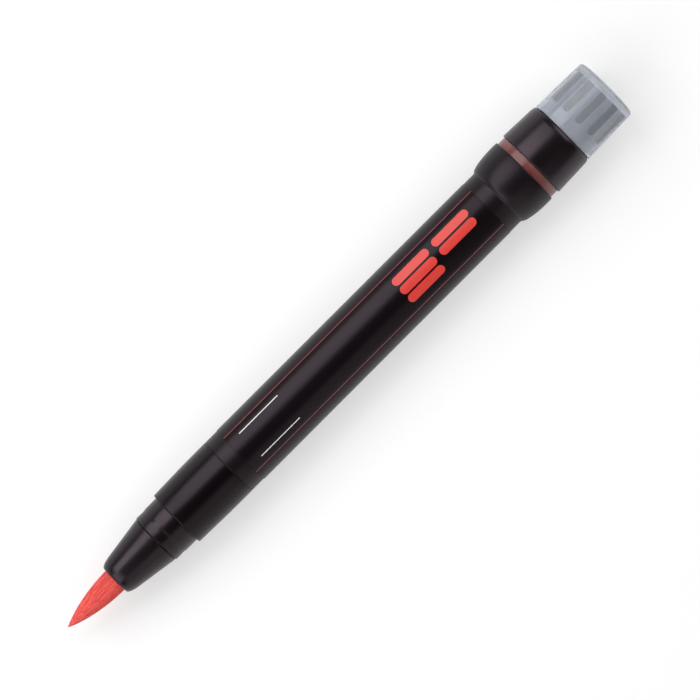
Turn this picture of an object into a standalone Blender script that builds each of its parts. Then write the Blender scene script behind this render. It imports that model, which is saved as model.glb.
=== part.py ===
"""Brush pen with a press-fed paint tank, lying along X, its brush towards -X and its press cap towards +X.

Pressing the tail steps a nut round, the nut drives a keyed screw rod forward, and the rod's piston pushes paint
past a check valve and along a feed tube into the bristles. The nose cone unscrews to change the brush.
"""

import math
from typing import NamedTuple

import bmesh
import bpy
from mathutils import Vector

for old in list(bpy.data.objects):
    bpy.data.objects.remove(old, do_unlink=True)

MM = 0.001  # every size below is in millimetres

# Lengths that show on the outside, from the brush's tip to the tail
BRUSH_LENGTH = 14.1
CONE_LENGTH = 12.2
NECK_LENGTH = 6.0
GRIP_LENGTH = 15.5
FRONT_BAND_LENGTH = 3.4
FILM_LENGTH = 73.1
REAR_BAND_LENGTH = 3.3
FLARE_LENGTH = 7.8
TRAVEL_BAND_LENGTH = 2.0
SLEEVE_LENGTH = 9.2
CAP_LENGTH = 13.4

# Outside radii
BRISTLE_R = 2.87
CONE_FRONT_R = 4.25
CONE_REAR_R = 5.84
NECK_R = 6.1
NECK_GROOVE_DEPTH = 0.16
GRIP_FRONT_R = 6.8
GRIP_R = 7.04
BARREL_R = 7.0
FILM_THICKNESS = 0.12
COLLAR_R = 8.25
TRAVEL_BAND_R = 7.85
SLEEVE_R = 8.27
SLEEVE_REAR_R = 7.96
CAP_R = 7.8
CAP_REAR_R = 7.54

# Walls and bores
TANK_R = 5.9
MECHANISM_R = 6.2
BARREL_SPIGOT_R = 6.25
BARREL_SPIGOT_WALL = 0.95
NECK_CHAMBER_R = 3.2
CHAMBER_LEDGE = 0.6
FEED_TUBE_R = 0.5
FEED_TUBE_WALL = 0.25
SLEEVE_WALL = 0.95
CAP_WALL = 1.0
CAP_END_WALL = 1.6

# Clearances: between a fixed piece and its seat, between faces, and round a sliding piece
SEAT = 0.1
FACE = 0.2
RUNNING = 0.15

# Motion
PRESS_STROKE = 1.7
TOOTH_GAP = 0.2
TOOTH_COUNT = 8
TOOTH_HEIGHT = 0.8

# Screw that the feed nut drives
ROD_CREST_R = 1.9
ROD_ROOT_R = 1.35
ROD_HALF_FLATS = 1.2
ROD_PITCH = 4.0
ROD_RIDGE = 1.8
NUT_RIDGE = 1.5
NUT_LENGTH = 7.2
NUT_HUB_R = 4.0
NUT_FLANGE_R = 5.6
NUT_FLANGE_LENGTH = 2.0

# Thread that holds the nose cone on the neck
CONE_PITCH = 1.5
CONE_RIDGE = 0.6
CONE_THREAD_R = 3.9
CONE_THREAD_DEPTH = 0.35

# Paint mixing ball
BALL_R = 2.0

OUTER_SIDES = 32
INNER_SIDES = 24
SMALL_SIDES = 16

# Stations along the axis, counted from the brush's tip
CONE_AT = BRUSH_LENGTH
NECK_AT = CONE_AT + CONE_LENGTH
GRIP_AT = NECK_AT + NECK_LENGTH
BODY_AT = GRIP_AT + GRIP_LENGTH
FILM_AT = BODY_AT + FRONT_BAND_LENGTH
FILM_END = FILM_AT + FILM_LENGTH
FLARE_AT = FILM_END + REAR_BAND_LENGTH
COLLAR_END = FLARE_AT + FLARE_LENGTH
SLEEVE_AT = COLLAR_END + TRAVEL_BAND_LENGTH
CAP_AT = SLEEVE_AT + SLEEVE_LENGTH
LENGTH = CAP_AT + CAP_LENGTH
AXIS_HEIGHT = max(SLEEVE_R, COLLAR_R) * math.cos(math.pi / OUTER_SIDES)

# The mechanism is stacked forwards from the collar
COUNTERBORE_DEPTH = PRESS_STROKE + 0.5
COUNTERBORE_R = TRAVEL_BAND_R + 0.08
BUSH_LENGTH = 2.6
BUSH_END = COLLAR_END - COUNTERBORE_DEPTH - 0.6
BUSH_AT = BUSH_END - BUSH_LENGTH
STOP_RING_WIDTH = 0.8
STOP_RING_AT = BUSH_AT - 0.3 - STOP_RING_WIDTH
RATCHET_LENGTH = 2.2
RATCHET_END = STOP_RING_AT - PRESS_STROKE - TOOTH_GAP
RATCHET_AT = RATCHET_END - RATCHET_LENGTH
NUT_END = RATCHET_AT - TOOTH_HEIGHT - TOOTH_GAP - TOOTH_HEIGHT
NUT_AT = NUT_END - NUT_LENGTH
GUIDE_LENGTH = 3.6
GUIDE_END = NUT_AT - 0.3
GUIDE_AT = GUIDE_END - GUIDE_LENGTH
TANK_END = GUIDE_AT - SEAT
TANK_AT = BODY_AT + 1.2
KNOCK_TUBE_R = 3.9
KNOCK_TUBE_BORE_R = ROD_CREST_R + 0.3
KNOCK_TUBE_AT = NUT_END + TOOTH_HEIGHT + TOOTH_GAP + PRESS_STROKE
KNOCK_FLANGE_AT = SLEEVE_AT + 1.6
KNOCK_FLANGE_LENGTH = 1.5
KNOCK_TUBE_END = CAP_AT + 4.2
PISTON_LENGTH = 10.0
PISTON_END = GUIDE_AT - 1.9
PISTON_AT = PISTON_END - PISTON_LENGTH
PLUG_END = LENGTH - CAP_END_WALL - FACE
ROD_END = PLUG_END - 2.7

# The nose is stacked forwards and backwards from the neck's flange
NECK_SPIGOT_LENGTH = 5.3
NECK_SPIGOT_AT = NECK_AT - NECK_SPIGOT_LENGTH
NOSE_SHOULDER_AT = CONE_AT + 2.9
FERRULE_R = 3.6
NECK_TAIL_R = BARREL_SPIGOT_R - BARREL_SPIGOT_WALL - SEAT
NECK_TAIL_END = GRIP_AT + 11.7
GRIP_LIP_LENGTH = 1.7

INK_BLACK = (0.012, 0.011, 0.013, 1.0)
MATERIALS = {
    "matte_black": (INK_BLACK, 0.45, 0.0),
    "gloss_black": ((0.008, 0.007, 0.009, 1.0), 0.12, 0.0),
    "printed_film": ((0.016, 0.014, 0.018, 1.0), 0.25, 0.0),
    "red_bristle": ((0.85, 0.10, 0.08, 1.0), 0.45, 0.0),
    "clear_red": ((0.28, 0.07, 0.06, 1.0), 0.2, 0.0),
    "frosted_grey": ((0.42, 0.46, 0.52, 1.0), 0.5, 0.0),
    "white_plastic": ((0.75, 0.75, 0.73, 1.0), 0.4, 0.0),
    "grey_plastic": ((0.2, 0.22, 0.25, 1.0), 0.4, 0.0),
    "seal_rubber": ((0.03, 0.03, 0.03, 1.0), 0.7, 0.0),
    "steel": ((0.6, 0.6, 0.62, 1.0), 0.25, 1.0),
}


def material(name):
    """The named finish, made the first time it is asked for."""
    found = bpy.data.materials.get(name)
    if found:
        return found
    colour, roughness, metallic = MATERIALS[name]
    made = bpy.data.materials.new(name)
    made.use_nodes = True
    shader = made.node_tree.nodes["Principled BSDF"]
    shader.inputs["Base Color"].default_value = colour
    shader.inputs["Roughness"].default_value = roughness
    shader.inputs["Metallic"].default_value = metallic
    made.diffuse_color = colour
    return made


def body(name, station, parent=None, drop=0.0):
    """An empty on the pen's axis, or below it by drop, that carries the pieces of one moving group."""
    empty = bpy.data.objects.new(name, None)
    empty.empty_display_size = 0.01
    world = Vector(((station - LENGTH / 2) * MM, 0.0, (AXIS_HEIGHT - drop) * MM))
    empty["station"] = station
    empty["world"] = world
    empty.location = world
    if parent:
        empty.parent = parent
        empty.location = world - Vector(parent["world"])
    bpy.context.collection.objects.link(empty)
    return empty


def add_piece(name, bm, finish, carrier):
    """Turns a mesh in millimetres, measured from its carrier's origin, into one closed named piece."""
    bmesh.ops.recalc_face_normals(bm, faces=bm.faces)
    bmesh.ops.scale(bm, vec=Vector((MM, MM, MM)), verts=bm.verts)
    mesh = bpy.data.meshes.new(name)
    bm.to_mesh(mesh)
    bm.free()
    mesh.shade_smooth()
    mesh.set_sharp_from_angle(angle=math.radians(32))
    mesh.materials.append(material(finish))
    piece = bpy.data.objects.new(name, mesh)
    piece.parent = carrier
    bpy.context.collection.objects.link(piece)
    return piece


class Ring(NamedTuple):
    """One ring of a turned outline. Crown lifts every third corner into ratchet teeth, rib lifts pairs of
    corners into ribs, and flats is the half distance between two flats that the ring is cut to."""

    station: float
    radius: float
    crown: float = 0.0
    rib: float = 0.0
    flats: float = math.inf


CROWN_STEPS = (0.0, 0.5, 1.0)
RIB_STEPS = (1.0, 1.0, 0.0, 0.0)


def ring_corner(ring, k, sides, origin):
    """Corner k of a ring, in millimetres; a flat of the ring faces straight down."""
    angle = (k + 0.5) * math.tau / sides - math.pi / 2
    radius = ring.radius + ring.rib * RIB_STEPS[k % len(RIB_STEPS)]
    station = ring.station + ring.crown * CROWN_STEPS[k % len(CROWN_STEPS)]
    across = max(-ring.flats, min(ring.flats, radius * math.cos(angle)))
    return Vector((station - origin, across, radius * math.sin(angle)))


def turn(bm, outline, sides, origin, threaded=None):
    """Turns a closed outline around the axis and returns its rings. Radius 0 is a point on the axis. The gap
    after ring number threaded is left open for a thread."""
    rings = []
    for point in outline:
        ring = Ring(*point)
        corners = sides if ring.radius else 1
        rings.append([bm.verts.new(ring_corner(ring, k, sides, origin)) for k in range(corners)])
    for number, near in enumerate(rings):
        if number == threaded:
            continue
        far = rings[(number + 1) % len(rings)]
        for k in range(sides):
            loop = [near[k % len(near)], near[(k + 1) % len(near)], far[(k + 1) % len(far)], far[k % len(far)]]
            corners = list(dict.fromkeys(loop))
            if len(corners) > 2:
                bm.faces.new(corners)
    return rings


def cut_thread(bm, near, far, start, turns, pitch, width, root, crest, origin, flats=math.inf):
    """Joins two rings by one right-hand helical ridge that starts at a station and makes whole turns. The crest
    is wider or narrower than the root, so the same function cuts bolts and nuts. The ridge's first and last
    steps lie flat, where it runs out."""
    sides = len(near)
    flank = width / 4
    shape = ((0.0, root), (flank, crest), (width - flank, crest), (width, root))
    columns = []
    for k in range(sides):
        rows = []
        for lap in range(turns):
            climb = start + pitch * (lap + (k + 0.5) / sides)
            run_out = (lap, k) in ((0, 0), (turns - 1, sides - 1))
            for along, radius in shape:
                ring = Ring(climb + along, root if run_out else radius, flats=flats)
                rows.append(bm.verts.new(ring_corner(ring, k, sides, origin)))
        columns.append([near[k], *rows, far[k]])
    for left, right in zip(columns, columns[1:]):
        for row in range(len(left) - 1):
            bm.faces.new((left[row], left[row + 1], right[row + 1], right[row]))
    # The last column meets the first one a turn further on, and a fan closes each end of the ridge
    last, first = columns[-1], columns[0]
    step = len(shape)
    shared = 1 if turns > 1 else 0
    for row in range(1, len(last) - 2 - step):
        bm.faces.new((last[row], last[row + 1], first[row + 1 + step], first[row + step]))
    opening = [last[0], *first[: step + 1 + shared]]
    for here, there in zip(opening, opening[1:]):
        bm.faces.new((last[1], here, there))
    closing = [*last[-1 - step - shared :], first[-1]]
    for here, there in zip(closing, closing[1:]):
        bm.faces.new((first[-2], here, there))


def turned_piece(name, outline, finish, carrier, sides=OUTER_SIDES):
    """A plain turned piece."""
    bm = bmesh.new()
    turn(bm, outline, sides, carrier["station"])
    return add_piece(name, bm, finish, carrier)


def quarter(start, end, steps):
    """Stations and radii of a quarter ellipse that leaves start steeply and runs into end level."""
    points = []
    for step in range(steps + 1):
        angle = math.pi / 2 * step / steps
        station = start[0] + (end[0] - start[0]) * (1 - math.cos(angle))
        radius = start[1] + (end[1] - start[1]) * math.sin(angle)
        points.append((station, radius))
    return points


def o_ring(name, station, inner, outer, carrier):
    """A rubber ring of round section that fills the space between two radii."""
    middle = (inner + outer) / 2
    section = (outer - inner) / 2
    corners = 6
    outline = []
    for corner in range(corners):
        angle = math.tau * corner / corners
        outline.append((station + section * math.sin(angle), middle + section * math.cos(angle)))
    return turned_piece(name, outline, "seal_rubber", carrier, INNER_SIDES)


def coil(name, start, end, radius, wire, turns, carrier):
    """A wire compression spring whose first and last turns lie flat."""
    sides = 6
    steps_per_turn = 12
    steps = turns * steps_per_turn
    bm = bmesh.new()
    rings = []
    for step in range(steps + 1):
        turned = step / steps_per_turn
        angle = math.tau * turned
        closed = 2 * wire * 1.1
        open_share = min(max((turned - 1) / (turns - 2), 0.0), 1.0)
        flat_share = min(turned, 1.0) + max(turned - (turns - 1), 0.0)
        rise = (end - start - 2 * wire - 2 * closed) * open_share + closed * flat_share
        centre = start + wire + rise
        ring = []
        for corner in range(sides):
            around = math.tau * corner / sides
            reach = radius + wire * math.cos(around)
            along = centre + wire * math.sin(around) - carrier["station"]
            ring.append(bm.verts.new((along, reach * math.cos(angle), reach * math.sin(angle))))
        rings.append(ring)
    for near, far in zip(rings, rings[1:]):
        for corner in range(sides):
            after = (corner + 1) % sides
            bm.faces.new((near[corner], near[after], far[after], far[corner]))
    bm.faces.new(rings[0])
    bm.faces.new(rings[-1])
    return add_piece(name, bm, "steel", carrier)


def brush(carrier):
    """The tapered nylon tuft, drilled from behind for the feed tube, and the collar round its root."""
    shank_end = NECK_SPIGOT_AT - 1.4
    drill_r = FEED_TUBE_R + SEAT
    outline = [(0.0, 0.0)]
    for share in (0.03, 0.08, 0.16, 0.28, 0.42, 0.58, 0.78, 1.0):
        swell = share**0.9 * (1.85 - 0.85 * share)
        outline.append((BRUSH_LENGTH * share, BRISTLE_R * swell))
    drill_at = BRUSH_LENGTH - 4.2
    outline += [(shank_end, BRISTLE_R), (shank_end, drill_r), (drill_at, drill_r), (drill_at - 0.4, 0.0)]
    turned_piece("brush_tuft", outline, "red_bristle", carrier, INNER_SIDES)
    inner = BRISTLE_R + SEAT
    front = NOSE_SHOULDER_AT + FACE
    back = NECK_SPIGOT_AT - 0.3
    collar = [(front, inner), (front, FERRULE_R), (back, FERRULE_R), (back, inner)]
    turned_piece("tuft_ferrule", collar, "white_plastic", carrier, INNER_SIDES)


def nose(carrier):
    """The screw-on cone that clamps the brush against the neck."""
    mouth_r = BRISTLE_R + SEAT
    pocket_r = FERRULE_R + RUNNING
    bore_r = CONE_THREAD_R + CONE_THREAD_DEPTH + 0.2
    seal_r = NECK_R - 1.0
    back = NECK_AT - SEAT
    thread_start = NECK_SPIGOT_AT + 0.3
    outline = [
        (CONE_AT, mouth_r),
        *quarter((CONE_AT, mouth_r + 0.4), (CONE_AT + 1.5, CONE_FRONT_R), 3),
        (back - 0.25, CONE_REAR_R),
        (back, CONE_REAR_R - 0.12),
        (back, seal_r),
        (back - 1.0, seal_r),
        (back - 1.0, bore_r),
        (NECK_SPIGOT_AT - FACE, bore_r),
        (NECK_SPIGOT_AT - FACE, pocket_r),
        (NOSE_SHOULDER_AT, pocket_r),
        (NOSE_SHOULDER_AT, mouth_r),
    ]
    bm = bmesh.new()
    threaded = outline.index((back - 1.0, bore_r))
    rings = turn(bm, outline, INNER_SIDES, carrier["station"], threaded)
    cut_thread(
        bm, rings[threaded + 1], rings[threaded], thread_start + CONE_PITCH / 2, 1, CONE_PITCH, CONE_RIDGE,
        bore_r, bore_r - CONE_THREAD_DEPTH, carrier["station"],
    )
    add_piece("nose_cone", bm, "matte_black", carrier)


def neck(carrier):
    """The nozzle holder: a threaded front spigot, a flange that shows, and a tail that plugs into the barrel
    and houses the check valve."""
    socket_r = 2.4
    web_at = NECK_AT + 3.7
    chamber_at = web_at + 3.0
    ledge_at = chamber_at + 4.8
    thread_end = NECK_AT - 1.2
    groove_at = GRIP_AT + 7.3
    groove_end = groove_at + 1.2
    groove_r = NECK_TAIL_R - 0.5
    tube_hole_r = FEED_TUBE_R + SEAT
    land_r = CONE_THREAD_R + 0.3
    waist_at = NECK_AT + 2.0
    outline = [
        (NECK_SPIGOT_AT, CONE_THREAD_R),
        (thread_end, CONE_THREAD_R),
        (thread_end, land_r),
        (NECK_AT, land_r),
        (NECK_AT, NECK_R - 0.1),
        (waist_at - 0.9, NECK_R - 0.1),
        (waist_at, NECK_R - NECK_GROOVE_DEPTH),
        (waist_at + 0.8, NECK_R - 0.02),
        (GRIP_AT - SEAT, NECK_R),
        (GRIP_AT - SEAT, NECK_TAIL_R),
        (groove_at, NECK_TAIL_R),
        (groove_at, groove_r),
        (groove_end, groove_r),
        (groove_end, NECK_TAIL_R),
        (NECK_TAIL_END, NECK_TAIL_R),
        (NECK_TAIL_END, NECK_CHAMBER_R),
        (ledge_at, NECK_CHAMBER_R),
        (ledge_at, NECK_CHAMBER_R - CHAMBER_LEDGE),
        (chamber_at, NECK_CHAMBER_R - CHAMBER_LEDGE),
        (chamber_at, tube_hole_r),
        (web_at, tube_hole_r),
        (web_at, socket_r),
        (NECK_SPIGOT_AT, socket_r),
    ]
    bm = bmesh.new()
    rings = turn(bm, outline, INNER_SIDES, carrier["station"], 0)
    cut_thread(
        bm, rings[0], rings[1], NECK_SPIGOT_AT + 0.2, 2, CONE_PITCH, CONE_RIDGE,
        CONE_THREAD_R, CONE_THREAD_R + CONE_THREAD_DEPTH, carrier["station"],
    )
    add_piece("neck", bm, "matte_black", carrier)
    o_ring("nose_seal", NECK_AT - 0.55, land_r + 0.08, NECK_R - 1.0 - 0.08, carrier)
    seal_at = (groove_at + groove_end) / 2
    o_ring("neck_seal", seal_at, groove_r + 0.06, NECK_TAIL_R + 0.04, carrier)
    tube(carrier, chamber_at)
    valve(carrier, chamber_at, ledge_at)


def tube(carrier, chamber_at):
    """The fine feed tube that carries paint from the valve into the middle of the bristles."""
    front = BRUSH_LENGTH - 3.8
    back = chamber_at + 0.4
    bore = FEED_TUBE_R - FEED_TUBE_WALL
    outline = [(front, bore), (front, FEED_TUBE_R), (back, FEED_TUBE_R), (back, bore)]
    turned_piece("feed_tube", outline, "steel", carrier, SMALL_SIDES)


def valve(carrier, chamber_at, ledge_at):
    """The rubber duckbill that lets paint forwards only, and the ring that holds it on its ledge."""
    flange_r = NECK_CHAMBER_R - SEAT
    bill_at = chamber_at + 1.0
    root_at = ledge_at - 1.2
    flange_at = ledge_at + SEAT
    flange_end = flange_at + 1.2
    root_r = NECK_CHAMBER_R - CHAMBER_LEDGE - 0.35
    outline = [
        (bill_at, 0.0),
        (bill_at, 0.9),
        (root_at, root_r),
        (flange_at, root_r),
        (flange_at, flange_r),
        (flange_end, flange_r),
        (flange_end, root_r - 0.7),
        (root_at + 0.2, root_r - 0.7),
        (bill_at + 0.8, 0.4),
        (bill_at + 0.8, 0.0),
    ]
    bm = bmesh.new()
    turn(bm, outline, SMALL_SIDES, carrier["station"])
    for corner in bm.verts:
        share = (root_at - corner.co.x - carrier["station"]) / (root_at - bill_at)
        corner.co.z *= 1 - 0.65 * min(max(share, 0.0), 1.0)
    add_piece("check_valve", bm, "seal_rubber", carrier)
    front = flange_end + FACE
    back = front + 2.6
    ring = [(front, flange_r - 1.4), (front, flange_r), (back, flange_r), (back, flange_r - 1.4)]
    turned_piece("valve_retainer", ring, "white_plastic", carrier, SMALL_SIDES)


def barrel(carrier):
    """The barrel: a front spigot under the grip, the paint tank, and the mechanism's bore behind it; then the
    shrunk printed film round it and the glossy grip sleeve on its spigot."""
    under_film = BARREL_R - 0.05
    spigot_at = GRIP_AT + GRIP_LIP_LENGTH + FACE
    spigot_bore = BARREL_SPIGOT_R - BARREL_SPIGOT_WALL
    outline = [
        (spigot_at, BARREL_SPIGOT_R - 0.2),
        (spigot_at + 0.4, BARREL_SPIGOT_R),
        (BODY_AT, BARREL_SPIGOT_R),
        (BODY_AT, BARREL_R),
        (FILM_AT - SEAT, BARREL_R),
        (FILM_AT - SEAT, under_film),
        (FILM_END + SEAT, under_film),
        (FILM_END + SEAT, BARREL_R),
        *quarter((FLARE_AT, BARREL_R), (COLLAR_END - 1.0, COLLAR_R), 5),
        (COLLAR_END - 0.2, COLLAR_R - 0.02),
        (COLLAR_END, COLLAR_R - 0.1),
        (COLLAR_END, COUNTERBORE_R),
        (COLLAR_END - COUNTERBORE_DEPTH, COUNTERBORE_R),
        (COLLAR_END - COUNTERBORE_DEPTH, MECHANISM_R),
        (TANK_END, MECHANISM_R),
        (TANK_END, TANK_R),
        (TANK_AT, TANK_R),
        (TANK_AT - 1.6, spigot_bore),
        (spigot_at, spigot_bore),
    ]
    turned_piece("barrel", outline, "matte_black", carrier)
    film_in = under_film + 0.05
    film_out = BARREL_R + FILM_THICKNESS
    film = [(FILM_AT, film_in), (FILM_AT, film_out), (FILM_END, film_out), (FILM_END, film_in)]
    turned_piece("label_film", film, "printed_film", carrier)
    lip_r = NECK_TAIL_R + SEAT
    sleeve_in = BARREL_SPIGOT_R + SEAT
    grip = [
        (GRIP_AT, lip_r),
        (GRIP_AT, GRIP_FRONT_R - 0.3),
        (GRIP_AT + 0.3, GRIP_FRONT_R),
        (GRIP_AT + 8.7, GRIP_R - 0.02),
        (BODY_AT - SEAT - 0.15, GRIP_R),
        (BODY_AT - SEAT, GRIP_R - 0.12),
        (BODY_AT - SEAT, sleeve_in),
        (GRIP_AT + GRIP_LIP_LENGTH, sleeve_in),
        (GRIP_AT + GRIP_LIP_LENGTH, lip_r),
    ]
    turned_piece("grip_sleeve", grip, "gloss_black", carrier)


def fixed_mechanism(carrier):
    """What is pressed into the barrel's bore: the keyed rod guide, the ratchet ring and the rear guide bush,
    with the two springs that work against them."""
    seat_r = MECHANISM_R - SEAT
    key_r = ROD_CREST_R + RUNNING
    key_flats = ROD_HALF_FLATS + RUNNING
    guide = [
        (GUIDE_AT, key_r, 0, 0, key_flats),
        (GUIDE_AT, seat_r),
        (GUIDE_END, seat_r),
        (GUIDE_END, key_r, 0, 0, key_flats),
    ]
    turned_piece("rod_guide", guide, "white_plastic", carrier, INNER_SIDES)
    hole_r = KNOCK_TUBE_R + 0.3
    ratchet = [
        (RATCHET_AT, hole_r),
        (RATCHET_AT, hole_r + 0.2, -TOOTH_HEIGHT),
        (RATCHET_AT, NUT_FLANGE_R, -TOOTH_HEIGHT),
        (RATCHET_AT, NUT_FLANGE_R + 0.2),
        (RATCHET_AT, seat_r),
        (RATCHET_END, seat_r),
        (RATCHET_END, hole_r),
    ]
    turned_piece("ratchet_ring", ratchet, "white_plastic", carrier, 3 * TOOTH_COUNT)
    bush_r = KNOCK_TUBE_R + RUNNING
    bush = [(BUSH_AT, bush_r), (BUSH_AT, seat_r), (BUSH_END, seat_r), (BUSH_END, bush_r)]
    turned_piece("guide_bush", bush, "white_plastic", carrier, INNER_SIDES)
    flange_at = NUT_END - NUT_FLANGE_LENGTH
    coil("rotor_spring", GUIDE_END + FACE, flange_at - FACE, (NUT_HUB_R + NUT_FLANGE_R) / 2, 0.28, 5, carrier)
    spring_r = (KNOCK_TUBE_R + MECHANISM_R) / 2
    coil("return_spring", BUSH_END + FACE, KNOCK_FLANGE_AT - FACE, spring_r, 0.3, 6, carrier)


def mixing_ball(carrier):
    """The loose steel ball that stirs the paint when the pen is shaken."""
    steps = 8
    outline = []
    for step in range(steps + 1):
        angle = math.pi * step / steps
        radius = BALL_R * math.sin(angle) if 0 < step < steps else 0.0
        outline.append((carrier["station"] - BALL_R * math.cos(angle), radius))
    turned_piece("mixing_ball", outline, "steel", carrier, SMALL_SIDES)


def piston_unit(carrier):
    """The piston with its two rubber rings, and the flatted screw rod plugged into its back."""
    skirt_r = TANK_R - 0.3
    groove_r = TANK_R - 0.9
    stem_r = 3.2
    socket_r = ROD_CREST_R + RUNNING
    socket_at = PISTON_AT + 3.0
    grooves = [PISTON_AT + 1.4, PISTON_AT + 5.0]
    groove_width = 1.2
    outline = [(PISTON_AT, 0.0), (PISTON_AT, skirt_r - 0.6), (PISTON_AT + 0.8, skirt_r)]
    for front in grooves:
        back = front + groove_width
        outline += [(front, skirt_r), (front, groove_r), (back, groove_r), (back, skirt_r)]
    outline += [
        (PISTON_AT + 7.0, skirt_r),
        (PISTON_AT + 7.0, stem_r),
        (PISTON_END, stem_r),
        (PISTON_END, socket_r),
        (socket_at, socket_r),
        (socket_at, 0.0),
    ]
    turned_piece("piston", outline, "white_plastic", carrier, INNER_SIDES)
    for name, front in zip(("piston_ring_front", "piston_ring_rear"), grooves):
        o_ring(name, front + groove_width / 2, groove_r + 0.06, TANK_R - 0.06, carrier)
    root_at = PISTON_END + 1.0
    root_end = ROD_END - 0.5
    nut_thread_at = NUT_AT + 0.5
    thread_at = nut_thread_at + (NUT_RIDGE - ROD_PITCH - ROD_RIDGE) / 2
    turns = int((root_end - thread_at - ROD_RIDGE) / ROD_PITCH)
    outline = [
        (socket_at + FACE, 0.0),
        (socket_at + FACE, ROD_CREST_R),
        (PISTON_END + 0.4, ROD_CREST_R),
        (root_at, ROD_ROOT_R, 0, 0, ROD_HALF_FLATS),
        (root_end, ROD_ROOT_R, 0, 0, ROD_HALF_FLATS),
        (ROD_END, ROD_ROOT_R - 0.4),
        (ROD_END, 0.0),
    ]
    bm = bmesh.new()
    rings = turn(bm, outline, SMALL_SIDES, carrier["station"], 3)
    cut_thread(
        bm, rings[3], rings[4], thread_at, turns, ROD_PITCH, ROD_RIDGE,
        ROD_ROOT_R, ROD_CREST_R, carrier["station"], ROD_HALF_FLATS,
    )
    add_piece("screw_rod", bm, "white_plastic", carrier)


def feed_nut(carrier):
    """The nut that each press turns by a tooth, with its crown of ratchet teeth behind."""
    bore_r = ROD_CREST_R + RUNNING
    flange_at = NUT_END - NUT_FLANGE_LENGTH
    tooth_in = KNOCK_TUBE_R + 0.3
    outline = [
        (NUT_AT, bore_r),
        (NUT_AT, NUT_HUB_R),
        (flange_at, NUT_HUB_R),
        (flange_at, NUT_FLANGE_R),
        (NUT_END, NUT_FLANGE_R, TOOTH_HEIGHT),
        (NUT_END, tooth_in + 0.2, TOOTH_HEIGHT),
        (NUT_END, tooth_in),
        (NUT_END, bore_r),
    ]
    last = len(outline) - 1
    bm = bmesh.new()
    rings = turn(bm, outline, 3 * TOOTH_COUNT, carrier["station"], last)
    cut_thread(
        bm, rings[0], rings[last], NUT_AT + 0.5, 1, ROD_PITCH, NUT_RIDGE,
        bore_r, bore_r - (ROD_CREST_R - ROD_ROOT_R) + 0.05, carrier["station"],
    )
    add_piece("feed_nut", bm, "white_plastic", carrier)


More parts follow.
